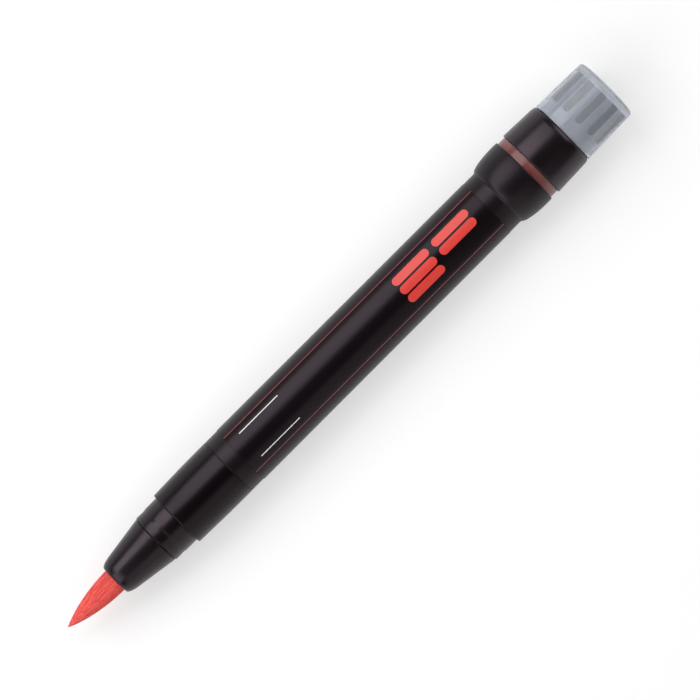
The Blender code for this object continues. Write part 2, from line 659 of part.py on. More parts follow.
def knock_unit(carrier):
    """What the thumb presses: the knock tube with its stop ring, the clear travel band, the tail sleeve, the
    ribbed plug and the frosted cap over it."""
    cam_height = 0.6
    groove_at = STOP_RING_AT - 0.1
    groove_end = STOP_RING_AT + STOP_RING_WIDTH + 0.1
    groove_r = KNOCK_TUBE_R - 0.4
    flange_r = MECHANISM_R - 0.1
    flange_end = KNOCK_FLANGE_AT + KNOCK_FLANGE_LENGTH
    tube_outline = [
        (KNOCK_TUBE_AT + cam_height, KNOCK_TUBE_BORE_R, -cam_height),
        (KNOCK_TUBE_AT + cam_height, KNOCK_TUBE_R, -cam_height),
        (groove_at, KNOCK_TUBE_R),
        (groove_at, groove_r),
        (groove_end, groove_r),
        (groove_end, KNOCK_TUBE_R),
        (KNOCK_FLANGE_AT, KNOCK_TUBE_R),
        (KNOCK_FLANGE_AT, flange_r),
        (flange_end, flange_r),
        (flange_end, KNOCK_TUBE_R),
        (KNOCK_TUBE_END, KNOCK_TUBE_R),
        (KNOCK_TUBE_END, KNOCK_TUBE_BORE_R),
    ]
    turned_piece("knock_tube", tube_outline, "white_plastic", carrier, 3 * TOOTH_COUNT)
    ring_in = groove_r + SEAT
    ring_end = STOP_RING_AT + STOP_RING_WIDTH
    ring_out = KNOCK_TUBE_R + 1.1
    ring = [(STOP_RING_AT, ring_in), (STOP_RING_AT, ring_out), (ring_end, ring_out), (ring_end, ring_in)]
    turned_piece("stop_ring", ring, "steel", carrier, INNER_SIDES)

    sleeve_in = SLEEVE_R - SLEEVE_WALL
    web_at = CAP_AT - 1.8
    web_hole = 5.2
    band_in = flange_r + FACE
    band_at = COLLAR_END - FACE
    band = [
        (band_at, band_in),
        (band_at, TRAVEL_BAND_R),
        (SLEEVE_AT - RUNNING, TRAVEL_BAND_R),
        (SLEEVE_AT - RUNNING, sleeve_in - SEAT),
        (web_at - 0.4, sleeve_in - SEAT),
        (web_at - 0.4, band_in),
    ]
    turned_piece("travel_band", band, "clear_red", carrier)
    sleeve = [
        (SLEEVE_AT, sleeve_in),
        (SLEEVE_AT, SLEEVE_R - 0.1),
        (SLEEVE_AT + 0.25, SLEEVE_R),
        *quarter((CAP_AT, CAP_R - 0.15), (CAP_AT - 1.0, SLEEVE_REAR_R), 3)[::-1],
        (CAP_AT, web_hole),
        (web_at, web_hole),
        (web_at, sleeve_in),
    ]
    turned_piece("tail_sleeve", sleeve, "gloss_black", carrier)

    core_r = CAP_R - CAP_WALL - 0.6
    rib = 0.45
    socket_r = KNOCK_TUBE_R + SEAT
    socket_end = KNOCK_TUBE_END + FACE
    well_r = ROD_CREST_R + 0.4
    ribs_at = CAP_AT + 3.4
    plug = [
        (web_at - SEAT, socket_r),
        (web_at - SEAT, web_hole - SEAT),
        (CAP_AT + FACE, web_hole - SEAT),
        (CAP_AT + FACE, core_r),
        (ribs_at, core_r),
        (ribs_at + 0.3, core_r, 0, rib),
        (PLUG_END, core_r, 0, rib),
        (PLUG_END, 0.0),
        (PLUG_END - 0.8, 0.0),
        (PLUG_END - 0.8, well_r),
        (socket_end, well_r),
        (socket_end, socket_r),
    ]
    turned_piece("end_plug", plug, "grey_plastic", carrier, 48)
    cap_front = CAP_AT + SEAT
    cap_in = CAP_R - CAP_WALL
    edge = 1.1
    cap = [
        (cap_front, cap_in),
        (cap_front, CAP_R),
        *quarter((LENGTH, CAP_REAR_R - edge), (LENGTH - edge, CAP_REAR_R), 4)[::-1],
        (LENGTH, 0.0),
        (LENGTH - CAP_END_WALL, 0.0),
        (LENGTH - CAP_END_WALL, cap_in),
    ]
    turned_piece("end_cap", cap, "frosted_grey", carrier)


pen = body("barrel_body", LENGTH / 2)
brush_carrier = body("brush_unit", NOSE_SHOULDER_AT, pen)
nose_carrier = body("nose_cone_body", NECK_AT, brush_carrier)
ball_drop = TANK_R * math.cos(math.pi / OUTER_SIDES) - BALL_R - 0.06
ball_carrier = body("mixing_ball_body", TANK_AT + BALL_R + 1.0, pen, ball_drop)
piston_carrier = body("piston_body", PISTON_AT, pen)
nut_carrier = body("feed_nut_body", NUT_AT, pen)
knock_carrier = body("knock_body", SLEEVE_AT, pen)

barrel(pen)
neck(pen)
fixed_mechanism(pen)
brush(brush_carrier)
nose(nose_carrier)
mixing_ball(ball_carrier)
piston_unit(piston_carrier)
feed_nut(nut_carrier)
knock_unit(knock_carrier)
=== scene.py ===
import math
import random

import bmesh
import bpy
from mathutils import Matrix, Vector


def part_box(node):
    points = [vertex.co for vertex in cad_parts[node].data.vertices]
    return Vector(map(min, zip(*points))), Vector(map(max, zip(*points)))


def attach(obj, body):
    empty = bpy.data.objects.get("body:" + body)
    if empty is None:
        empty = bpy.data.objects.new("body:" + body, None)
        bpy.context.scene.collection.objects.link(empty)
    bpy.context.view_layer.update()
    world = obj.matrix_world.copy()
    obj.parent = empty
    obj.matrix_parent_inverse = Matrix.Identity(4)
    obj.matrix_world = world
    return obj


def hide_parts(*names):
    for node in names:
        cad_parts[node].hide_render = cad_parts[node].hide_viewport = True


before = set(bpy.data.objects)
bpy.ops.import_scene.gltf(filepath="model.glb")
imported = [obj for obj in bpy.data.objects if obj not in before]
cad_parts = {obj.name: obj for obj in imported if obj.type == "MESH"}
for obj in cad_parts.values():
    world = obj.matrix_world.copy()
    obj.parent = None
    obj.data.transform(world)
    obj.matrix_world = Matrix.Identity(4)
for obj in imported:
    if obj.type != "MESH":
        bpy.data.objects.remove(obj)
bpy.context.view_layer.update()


# ---- The table, the light and the camera ---------------------------------------------------------
# The pen lies label up on a plain white table that fades into a white backdrop. Soft boxes on its upper
# side light the body and the cone, a dim one fills its lower side, and broad lamps beyond its ends lift
# the shadow.

MM = 0.001
tip_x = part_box("brush_tuft")[0].x
lowest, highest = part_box("barrel")
axis_z = (lowest.z + highest.z) / 2
scene = bpy.context.scene
scene.view_settings.view_transform = "Standard"


def new_material(name):
    """A fresh node material, with its Principled shader and its node tree."""
    made = bpy.data.materials.new(name)
    made.use_nodes = True
    return made, made.node_tree, made.node_tree.nodes["Principled BSDF"]


def noise(tree, scale, stretch=(1.0, 1.0, 1.0), detail=3.0):
    """Noise in the piece's own coordinates; a small stretch along an axis draws it out that way."""
    place = tree.nodes.new("ShaderNodeTexCoord")
    mapping = tree.nodes.new("ShaderNodeMapping")
    mapping.inputs["Scale"].default_value = stretch
    texture = tree.nodes.new("ShaderNodeTexNoise")
    texture.inputs["Scale"].default_value = scale
    texture.inputs["Detail"].default_value = detail
    texture.inputs["Roughness"].default_value = 0.5
    tree.links.new(place.outputs["Object"], mapping.inputs["Vector"])
    tree.links.new(mapping.outputs["Vector"], texture.inputs["Vector"])
    return texture.outputs["Fac"]


NOISE_LOW = 0.3
NOISE_HIGH = 0.7


def tint(tree, value, low, high):
    """A colour that runs between two as a noise value does."""
    ramp = tree.nodes.new("ShaderNodeValToRGB")
    ramp.color_ramp.elements[0].position = NOISE_LOW
    ramp.color_ramp.elements[0].color = (*low, 1)
    ramp.color_ramp.elements[1].position = NOISE_HIGH
    ramp.color_ramp.elements[1].color = (*high, 1)
    tree.links.new(value, ramp.inputs["Fac"])
    return ramp.outputs["Color"]


def fade(tree, value, start, end, low=0.0, high=1.0):
    """Runs from low to high while a value runs from start to end."""
    node = tree.nodes.new("ShaderNodeMapRange")
    node.inputs["From Min"].default_value = start
    node.inputs["From Max"].default_value = end
    node.inputs["To Min"].default_value = low
    node.inputs["To Max"].default_value = high
    tree.links.new(value, node.inputs["Value"])
    return node.outputs["Result"]


def arithmetic(tree, operation, first, second):
    """One step of arithmetic between two node values."""
    node = tree.nodes.new("ShaderNodeMath")
    node.operation = operation
    tree.links.new(first, node.inputs[0])
    tree.links.new(second, node.inputs[1])
    return node.outputs["Value"]


def seen_directly(tree):
    """1 for what the eye, a gloss or clear plastic shows, 0 for light that falls on things."""
    path = tree.nodes.new("ShaderNodeLightPath").outputs
    in_a_piece = arithmetic(tree, "MAXIMUM", path["Is Glossy Ray"], path["Is Transmission Ray"])
    return arithmetic(tree, "MAXIMUM", path["Is Camera Ray"], in_a_piece)


table_size = 60
table_below = 0.0001
backdrop_from = 0.15
backdrop_full = 0.4
shadow_lift = 0.45
table_white, tree, shader = new_material("table_white")
table_colour = tint(tree, noise(tree, 9.0), (0.93, 0.93, 0.93), (0.95, 0.95, 0.95))
tree.links.new(table_colour, shader.inputs["Base Color"])
shader.inputs["Roughness"].default_value = 0.9
shader.inputs["Specular IOR Level"].default_value = 0.1
distance = tree.nodes.new("ShaderNodeVectorMath")
distance.operation = "LENGTH"
tree.links.new(tree.nodes.new("ShaderNodeTexCoord").outputs["Object"], distance.inputs[0])
far_off = fade(tree, distance.outputs["Value"], backdrop_from, backdrop_full)
backdrop = tree.nodes.new("ShaderNodeEmission")
backdrop.inputs["Color"].default_value = (1.0, 1.0, 1.0, 1)
join = tree.nodes.new("ShaderNodeMixShader")
shown_far_off = arithmetic(tree, "MULTIPLY", far_off, seen_directly(tree))
eye = tree.nodes.new("ShaderNodeLightPath").outputs["Is Camera Ray"]
lifted = fade(tree, eye, 0.0, 1.0, 0.0, shadow_lift)
tree.links.new(arithmetic(tree, "MAXIMUM", shown_far_off, lifted), join.inputs["Fac"])
tree.links.new(shader.outputs["BSDF"], join.inputs[1])
tree.links.new(backdrop.outputs["Emission"], join.inputs[2])
tree.links.new(join.outputs["Shader"], tree.nodes["Material Output"].inputs["Surface"])
bpy.ops.mesh.primitive_plane_add(size=table_size, location=(0, 0, lowest.z - table_below))
table = bpy.context.object
table.name = "table"
table.data.materials.append(table_white)

sky_from = 0.13
sky_dark = 0.22
room_light = 0.05
world = bpy.data.worlds.new("studio")
scene.world = world
world.use_nodes = True
tree = world.node_tree
height = tree.nodes.new("ShaderNodeSeparateXYZ")
tree.links.new(tree.nodes.new("ShaderNodeTexCoord").outputs["Generated"], height.inputs["Vector"])
horizon = fade(tree, height.outputs["Z"], sky_from, sky_dark, 0.95, 0.0)
glow = arithmetic(tree, "MULTIPLY", horizon, seen_directly(tree))
tree.nodes["Background"].inputs["Color"].default_value = (1.0, 1.0, 1.0, 1)
strength = fade(tree, glow, 0.0, 1.0, room_light, 1.0 + room_light)
tree.links.new(strength, tree.nodes["Background"].inputs["Strength"])


def soft_box(name, tilt, distance, width, length, radiance, colour, towards="side", along=0.0):
    """A rectangular lamp facing the pen, tilted from overhead towards its side (+Y) or its tail (+X)."""
    lamp = bpy.data.lights.new(name, "AREA")
    lamp.shape = "RECTANGLE"
    lamp.size = length
    lamp.size_y = width
    lamp.energy = radiance * math.pi * width * length
    lamp.color = colour
    lamp_object = bpy.data.objects.new(name, lamp)
    angle = math.radians(tilt)
    aside = distance * math.sin(angle)
    up = axis_z + distance * math.cos(angle)
    lamp_object.location = (along, aside, up) if towards == "side" else (aside, 0, up)
    lamp_object.rotation_euler = (-angle, 0, 0) if towards == "side" else (0, angle, 0)
    scene.collection.objects.link(lamp_object)


side_distance = 0.5
side_width = 0.46
soft_box("key_box", 41, side_distance, side_width, 0.26, 3.3, (1.0, 0.99, 1.0))
soft_box("cone_box", 41, side_distance, 0.3, 0.2, 4.2, (0.96, 0.97, 1.0), along=-0.25)
soft_box("fill_box", -57, side_distance, side_width, 0.4, 0.85, (1.0, 0.96, 0.94), along=-0.16)
soft_box("tip_end_box", -52, 1.0, 1.0, 0.8, 2.3, (1.0, 1.0, 1.0), towards="end")
soft_box("tail_end_box", 52, 1.0, 1.0, 0.8, 2.3, (1.0, 1.0, 1.0), towards="end")

camera_height = 1.38
view_width = 0.14675
camera_turn = -45.03
aim = Vector((3.0 * MM, -0.74 * MM, 0))
camera_data = bpy.data.cameras.new("camera")
camera_data.sensor_width = 36
camera_data.lens = camera_data.sensor_width * camera_height / view_width
camera = bpy.data.objects.new("camera", camera_data)
camera.location = aim + Vector((0, 0, axis_z + camera_height))
camera.rotation_euler = (0, 0, math.radians(camera_turn))
scene.collection.objects.link(camera)
scene.camera = camera


# ---- The bristle tuft ----------------------------------------------------------------------------
# A tapered tuft of coral red nylon filaments, bonded at the root and drawn to a fine point. Each filament
# is its own closed strand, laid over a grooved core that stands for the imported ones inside.

SHAPE_STEPS = 34


def station(x):
    """How far a place lies from the brush's tip, in millimetres."""
    return (x - tip_x) / MM


def ends(node):
    """The front and rear stations of a CAD node."""
    low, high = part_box(node)
    return station(low.x), station(high.x)


def outer_radius(node):
    """Half the width of a CAD node, in millimetres."""
    low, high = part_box(node)
    return (high.y - low.y) / 2 / MM


def on_axis(along, radius, angle):
    """A point in metres from its station, its radius and its angle from straight up towards -Y."""
    return Vector((tip_x + along * MM, -radius * MM * math.sin(angle), radius * MM * math.cos(angle)))


def finish_piece(name, bm, material, body, slot, *nodes, sharp=35):
    """Makes a piece with its origin on the pen's axis, ties it to its body and hides the CAD nodes it
    replaces; the slot is not used.
    """
    bmesh.ops.recalc_face_normals(bm, faces=bm.faces)
    mesh = bpy.data.meshes.new(name)
    bm.to_mesh(mesh)
    bm.free()
    mesh.shade_smooth()
    mesh.set_sharp_from_angle(angle=math.radians(sharp))
    mesh.materials.append(material)
    piece = bpy.data.objects.new(name, mesh)
    piece.location.z = axis_z
    scene.collection.objects.link(piece)
    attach(piece, body)
    if nodes:
        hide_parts(*nodes)
    return piece


def bridge(bm, near, far):
    """Faces between two rings of the same count, or between a ring and a single point."""
    count = max(len(near), len(far))
    for k in range(count):
        after = (k + 1) % count
        loop = [near[k % len(near)], near[after % len(near)], far[after % len(far)], far[k % len(far)]]
        corners = list(dict.fromkeys(loop))
        if len(corners) > 2:
            bm.faces.new(corners)


def spread(tree, value, low, high):
    """Maps a noise value to a range."""
    return fade(tree, value, NOISE_LOW, NOISE_HIGH, low, high)


def bump(tree, shader, value, depth, strength=1.0):
    """Raises the surface by a noise value, by so many metres at most."""
    node = tree.nodes.new("ShaderNodeBump")
    node.inputs["Strength"].default_value = strength
    node.inputs["Distance"].default_value = depth
    tree.links.new(value, node.inputs["Height"])
    tree.links.new(node.outputs["Normal"], shader.inputs["Normal"])


cone_front, cone_rear = ends("nose_cone")
tuft_rear = ends("brush_tuft")[1]
root_r = outer_radius("brush_tuft")


def tuft_radius(along):
    """The tuft's outline: a pointed drop that fills out to its root."""
    share = min(max(along / cone_front, 0.0), 1.0)
    return root_r * share**0.9 * (1.85 - 0.85 * share)


coral, tree, shader = new_material("coral_nylon")
streaks = noise(tree, 5200.0, (0.012, 1.0, 1.0))
coral_colour = tint(tree, streaks, (0.60, 0.030, 0.028), (0.97, 0.135, 0.105))
tree.links.new(coral_colour, shader.inputs["Base Color"])
tree.links.new(spread(tree, streaks, 0.34, 0.5), shader.inputs["Roughness"])
shader.inputs["Subsurface Weight"].default_value = 0.05
shader.inputs["Subsurface Radius"].default_value = (0.8 * MM, 0.3 * MM, 0.2 * MM)
shader.inputs["Subsurface Scale"].default_value = 0.5
bump(tree, shader, noise(tree, 7000.0, (0.01, 1.0, 1.0)), 0.03 * MM, 0.8)

core_sides = 120
core_tip = 0.25
core_share = 0.94
bm = bmesh.new()
rings = [[bm.verts.new(on_axis(core_tip, 0, 0))]]
for step in range(1, SHAPE_STEPS + 1):
    along = core_tip + (tuft_rear - core_tip) * step / SHAPE_STEPS
    ring = []
    for k in range(core_sides):
        angle = math.tau * k / core_sides
        groove = 0.02 * math.sin(20 * angle + 0.3) + 0.018 * math.sin(33 * angle + 1.1 + 0.1 * along)
        ring.append(bm.verts.new(on_axis(along, tuft_radius(along) * (core_share + groove), angle)))
    rings.append(ring)
rings.append([bm.verts.new(on_axis(tuft_rear, 0, 0))])
for near, far in zip(rings, rings[1:]):
    bridge(bm, near, far)
finish_piece("tuft_core", bm, coral, "brush_unit", "red_bristle", "brush_tuft")

strand_count = 330
strand_rings = 16
strand_sides = 5
even_turn = 2.39996
inside_cone = 1.5
draw = random.Random(5)
bm = bmesh.new()
for number in range(strand_count):
    turn_at = number * even_turn + draw.uniform(-0.05, 0.05)
    depth = draw.uniform(0.93, 0.985)
    tip_at = draw.uniform(0.0, 0.3) if number % 3 else draw.uniform(0.5, 4.0)
    thickness = draw.uniform(0.055, 0.085)
    lean = draw.uniform(-0.05, 0.05)
    strand = []
    for step in range(strand_rings + 1):
        share = step / strand_rings
        along = tip_at + (cone_front + inside_cone - tip_at) * share**1.3
        angle = turn_at + lean * math.sin(share * math.pi)
        centre_r = max(tuft_radius(along) * depth - thickness * 0.5, 0.0)
        slim = thickness * min(1.0, 0.25 + 2.2 * share)
        middle = on_axis(along, centre_r, angle)
        outwards = Vector((0, -math.sin(angle), math.cos(angle)))
        sideways = Vector((0, -math.cos(angle), -math.sin(angle)))
        ring = []
        for corner in range(strand_sides):
            around = math.tau * corner / strand_sides
            offset = outwards * math.cos(around) + sideways * math.sin(around)
            ring.append(bm.verts.new(middle + offset * slim * MM))
        strand.append(ring)
    for near, far in zip(strand, strand[1:]):
        bridge(bm, near, far)
    bm.faces.new(strand[0])
    bm.faces.new(strand[-1])
finish_piece("tuft_strands", bm, coral, "brush_unit", "red_bristle", sharp=80)


# ---- Natural acetal, rubber and steel inside -----------------------------------------------------
# The pieces nobody sees until the pen is taken apart: turned and moulded acetal, nitrile rings and spring
# steel. They keep their CAD shapes and get their real finishes.


def carry(material, *nodes):
    """Gives CAD nodes that stay visible a finer material."""
    for node in nodes:
        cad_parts[node].data.materials.clear()
        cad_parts[node].data.materials.append(material)


acetal, tree, shader = new_material("natural_acetal")
cloud = noise(tree, 260.0)
acetal_colour = tint(tree, cloud, (0.70, 0.70, 0.67), (0.78, 0.78, 0.75))
tree.links.new(acetal_colour, shader.inputs["Base Color"])
tree.links.new(spread(tree, cloud, 0.34, 0.46), shader.inputs["Roughness"])
shader.inputs["Subsurface Weight"].default_value = 0.2
shader.inputs["Subsurface Radius"].default_value = (MM, MM, MM)
bump(tree, shader, noise(tree, 3000.0), 0.01 * MM, 0.5)
carry(acetal, "tuft_ferrule", "valve_retainer", "rod_guide", "ratchet_ring", "guide_bush")
carry(acetal, "piston", "screw_rod", "feed_nut", "knock_tube")

nitrile, tree, shader = new_material("nitrile_rubber")
dust = noise(tree, 700.0)
rubber_colour = tint(tree, dust, (0.018, 0.018, 0.018), (0.035, 0.034, 0.033))
tree.links.new(rubber_colour, shader.inputs["Base Color"])
tree.links.new(spread(tree, dust, 0.55, 0.75), shader.inputs["Roughness"])
bump(tree, shader, noise(tree, 5000.0), 0.01 * MM, 0.6)
carry(nitrile, "nose_seal", "neck_seal", "check_valve", "piston_ring_front", "piston_ring_rear")

steel, tree, shader = new_material("drawn_steel")
drawn = noise(tree, 2500.0, (0.08, 1.0, 1.0))
steel_colour = tint(tree, drawn, (0.52, 0.52, 0.54), (0.66, 0.66, 0.68))
tree.links.new(steel_colour, shader.inputs["Base Color"])
tree.links.new(spread(tree, drawn, 0.2, 0.34), shader.inputs["Roughness"])
shader.inputs["Metallic"].default_value = 1.0
bump(tree, shader, drawn, 0.004 * MM, 0.5)
carry(steel, "feed_tube", "rotor_spring", "return_spring", "stop_ring", "mixing_ball")


# ---- The nose cone -------------------------------------------------------------------------------
# A satin black polypropylene cone with a rounded mouth round the bristles. It screws on to the neck by a
# short thread and clamps the brush by its collar.

FINE_SIDES = 144


def rounded(points, steps=5):
    """An outline whose corners (station, radius, fillet) are eased by a curve of the fillet's reach."""
    eased = []
    for number, (along, radius, fillet) in enumerate(points):
        corner = Vector((along, radius))
        if not fillet:
            eased.append(corner)
            continue
        before = Vector(points[number - 1][:2]) - corner
        after = Vector(points[(number + 1) % len(points)][:2]) - corner
        start = corner + before.normalized() * min(fillet, before.length * 0.49)
        end = corner + after.normalized() * min(fillet, after.length * 0.49)
        for step in range(steps + 1):
            share = step / steps
            eased.append(start * (1 - share) ** 2 + corner * 2 * share * (1 - share) + end * share**2)
    return [(point.x, point.y) for point in eased]


def lathe(bm, outline, sides=FINE_SIDES, open_after=None):
    """Turns a closed outline of stations and radii into rings; the gap after one ring may be left open."""
    rings = []
    for along, radius in outline:
        corners = sides if radius > 0 else 1
        rings.append([bm.verts.new(on_axis(along, radius, math.tau * k / sides)) for k in range(corners)])
    for number, near in enumerate(rings):
        far = rings[(number + 1) % len(rings)]
        if number != open_after and len(near) + len(far) > 2:
            bridge(bm, near, far)
    return rings


def thread(bm, near, far, start, turns, pitch, width, root, crest):
    """Joins two rings by a right-hand helical ridge that runs out flat at both ends."""
    sides = len(near)
    flank = width / 4
    shape = ((0.0, root), (flank, crest), (width - flank, crest), (width, root))
    columns = []
    for k in range(sides):
        rows = []
        for lap in range(turns):
            done = (lap + k / sides) / turns
            height = min(1.0, 12 * done * turns, 12 * (1 - done) * turns - 0.1)
            for along, radius in shape:
                climb = start + pitch * (lap + k / sides) + along
                ridge = root + (radius - root) * max(height, 0)
                rows.append(bm.verts.new(on_axis(climb, ridge, math.tau * k / sides)))
        columns.append([near[k], *rows, far[k]])
    for left, right in zip(columns, columns[1:]):
        for row in range(len(left) - 1):
            bm.faces.new((left[row], left[row + 1], right[row + 1], right[row]))
    last, first = columns[-1], columns[0]
    step = len(shape)
    shared = 1 if turns > 1 else 0
    for row in range(1, len(last) - 2 - step):
        bm.faces.new((last[row], last[row + 1], first[row + 1 + step], first[row + step]))
    opening = [last[0], *first[: step + 1 + shared]]
    for here, there in zip(opening, opening[1:]):
        bm.faces.new((last[1], here, there))
    closing = [*last[-1 - step - shared :], first[-1]]
    for here, there in zip(closing, closing[1:]):
        bm.faces.new((first[-2], here, there))


def black_plastic(name, colour, roughness, grain, depth, specular):
    """Black moulded plastic: a fine grain, and faint wear that dulls it in patches."""
    made, tree, shader = new_material(name)
    patches = noise(tree, 55.0, (0.3, 1.0, 1.0), detail=5.0)
    lighter = tuple(channel * 1.35 for channel in colour)
    tree.links.new(tint(tree, patches, colour, lighter), shader.inputs["Base Color"])
    tree.links.new(spread(tree, patches, roughness * 0.9, roughness * 1.12), shader.inputs["Roughness"])
    shader.inputs["Specular IOR Level"].default_value = specular
    shader.inputs["Specular Tint"].default_value = (1.0, 0.82, 0.94, 1)
    bump(tree, shader, noise(tree, grain, detail=2.0), depth * MM, 0.5)
    return made


satin_colour = (0.0022, 0.0015, 0.0019)
satin_black = black_plastic("satin_black", satin_colour, 0.36, 2600.0, 0.006, 0.28)
cone_black = black_plastic("cone_black", satin_colour, 0.28, 2600.0, 0.004, 0.36)

mouth_r = root_r + 0.1
pocket_r = 3.75
pocket_front = 17.0
thread_r = 4.45
thread_pitch = 1.5
ridge_width = 0.6
ridge_height = 0.35
seal_pocket_r = 5.1
seal_pocket = 1.0
spigot_room = 0.2
thread_from = ends("neck")[0]
outline = rounded([
    (cone_front, mouth_r, 0.15),
    (cone_front, 3.55, 0.35),
    (cone_front + 0.75, 4.05, 0.7),
    (cone_front + 2.0, 4.38, 0.6),
    (cone_rear, outer_radius("nose_cone") + 0.06, 0.34),
    (cone_rear, seal_pocket_r, 0.1),
    (cone_rear - seal_pocket, seal_pocket_r, 0),
    (cone_rear - seal_pocket, thread_r, 0),
    (thread_from - spigot_room, thread_r, 0),
    (thread_from - spigot_room, pocket_r, 0),
    (pocket_front, pocket_r, 0),
    (pocket_front, mouth_r, 0),
])
bm = bmesh.new()
thread_end = (cone_rear - seal_pocket, thread_r)
threaded = next(k for k, point in enumerate(outline) if math.dist(point, thread_end) < 0.01)
rings = lathe(bm, outline, FINE_SIDES, threaded)
near, far = rings[threaded + 1], rings[threaded]
cone_thread_at = thread_from + 1.05
thread(bm, near, far, cone_thread_at, 1, thread_pitch, ridge_width, thread_r, thread_r - ridge_height)
finish_piece("nose_cone_shell", bm, cone_black, "nose_cone_body", "matte_black", "nose_cone")


# ---- The neck ------------------------------------------------------------------------------------
# The nozzle holder between cone and grip: a satin black collar with a shallow turned groove, a threaded
# spigot in front that the cone screws on to, and a tail plugged into the barrel. A rubber ring seals each
# end.

neck_front, neck_rear = ends("neck")
grip_front, grip_rear = ends("grip_sleeve")
spigot_r = 3.9
land_r = 4.2
neck_r = 6.1
tail_r = 5.2
feed_bore_r = 2.4
feed_hole_r = 0.6
valve_bore_r = 3.2
wall_front = 30.0
wall_rear = 33.0
land_length = 1.2
flange_at = cone_rear + 0.05
outline = rounded([
    (neck_front, spigot_r, 0.12),
    (flange_at - land_length, spigot_r, 0),
    (flange_at - land_length, land_r, 0.08),
    (flange_at, land_r, 0),
    (flange_at, neck_r - 0.1, 0.12),
    (flange_at + 1.3, neck_r - 0.1, 0.3),
    (flange_at + 2.1, neck_r - 0.16, 0.4),
    (flange_at + 2.8, neck_r - 0.02, 0.3),
    (grip_front - 0.04, neck_r + 0.01, 0.06),
    (grip_front - 0.04, tail_r, 0),
    (neck_rear, tail_r, 0.15),
    (neck_rear, valve_bore_r, 0),
    (wall_rear, valve_bore_r, 0),
    (wall_rear, feed_hole_r, 0),
    (wall_front, feed_hole_r, 0),
    (wall_front, feed_bore_r, 0),
    (neck_front, feed_bore_r, 0.1),
])
bm = bmesh.new()
threaded = max(k for k, point in enumerate(outline[:8]) if point[0] < flange_at - land_length - 0.1)
rings = lathe(bm, outline, FINE_SIDES, threaded)
near, far = rings[threaded], rings[threaded + 1]
neck_thread_at = neck_front + 0.3
thread(bm, near, far, neck_thread_at, 2, thread_pitch, ridge_width, spigot_r, spigot_r + ridge_height)
finish_piece("neck_holder", bm, cone_black, "barrel_body", "matte_black", "neck")


# ---- The grip sleeve -----------------------------------------------------------------------------
# A glossy black sleeve pressed over the barrel's front, where the fingers hold the pen. Its front edge is
# eased and it swells very slightly towards the back.

gloss_black = black_plastic("gloss_black", (0.0016, 0.0009, 0.0013), 0.28, 1500.0, 0.003, 0.24)
grip_r = outer_radius("grip_sleeve") + 0.03
grip_step = 34.0
front_bore_r = 5.35
rear_bore_r = 6.35
outline = rounded([
    (grip_front, front_bore_r, 0),
    (grip_front, grip_r - 0.24, 0.3),
    (grip_front + 8.7, grip_r - 0.02, 3.0),
    (grip_rear, grip_r, 0.12),
    (grip_rear, rear_bore_r, 0),
    (grip_step, rear_bore_r, 0),
    (grip_step, front_bore_r, 0),
])
bm = bmesh.new()
lathe(bm, outline)
finish_piece("grip", bm, gloss_black, "barrel_body", "gloss_black", "grip_sleeve")


# ---- The barrel ----------------------------------------------------------------------------------
# One satin black moulding: it shows bare in front of and behind the film, and flares into a collar at the
# tail. The paint tank and the mechanism's bore are inside.

film_front, film_rear = ends("label_film")
barrel_front, collar_end = ends("barrel")
barrel_r = 7.0
under_film = barrel_r - 0.06
under_grip = 6.25
seam = 0.05
collar_r = outer_radius("barrel") + 0.04
band_pocket_r = 7.93
band_pocket = 2.2
neck_bore_r = 5.3
tank_r = 5.9
tank_front = 49.0
tank_rear = 111.8
works_bore_r = 6.2
flare_at = film_rear + 3.3


def flare(start, start_r, end, end_r, steps=14):
    """A quarter ellipse that leaves the barrel steeply, through a small hollow, and runs out level."""
    points = [(start - 0.35, start_r, 0), (start - 0.05, start_r + 0.06, 0)]
    for step in range(1, steps + 1):
        angle = math.pi / 2 * step / steps
        along = start + (end - start) * (1 - math.cos(angle))
        points.append((along, start_r + (end_r - start_r) * math.sin(angle), 0))
    return points


outline = rounded([
    (barrel_front, 6.05, 0),
    (barrel_front + 0.4, under_grip, 0),
    (grip_rear + 0.04, under_grip, 0),
    (grip_rear + 0.04, barrel_r, 0.08),
    (film_front - seam, barrel_r, 0.03),
    (film_front - seam, under_film, 0),
    (film_rear + seam, under_film, 0),
    (film_rear + seam, barrel_r, 0.03),
    *flare(flare_at, barrel_r, collar_end - 1.2, collar_r),
    (collar_end, collar_r - 0.03, 0.3),
    (collar_end, band_pocket_r, 0.05),
    (collar_end - band_pocket, band_pocket_r, 0),
    (collar_end - band_pocket, works_bore_r, 0),
    (tank_rear, works_bore_r, 0),
    (tank_rear, tank_r, 0),
    (tank_front, tank_r, 0),
    (tank_front - 1.6, neck_bore_r, 0),
    (barrel_front, neck_bore_r, 0),
])
bm = bmesh.new()
lathe(bm, outline)
finish_piece("barrel_moulding", bm, satin_black, "barrel_body", "matte_black", "barrel")


# ---- The printed film ----------------------------------------------------------------------------
# A black film shrunk round the barrel. Its print is laid on in thin ink: two red hairlines down its
# length, two short white rules, and five bare red tabs. The places of names and addresses are left bare.

film_black = black_plastic("film_black", (0.002, 0.0012, 0.0017), 0.3, 1900.0, 0.004, 0.24)
film_thickness = 0.12
film_draw = 0.03
film_r = barrel_r + film_thickness
outline = rounded([
    (film_front, barrel_r, 0),
    (film_front, film_r, 0.06),
    (film_rear, film_r - film_draw, 0.06),
    (film_rear, barrel_r, 0),
])
bm = bmesh.new()
lathe(bm, outline)
finish_piece("film", bm, film_black, "barrel_body", "printed_film", "label_film")


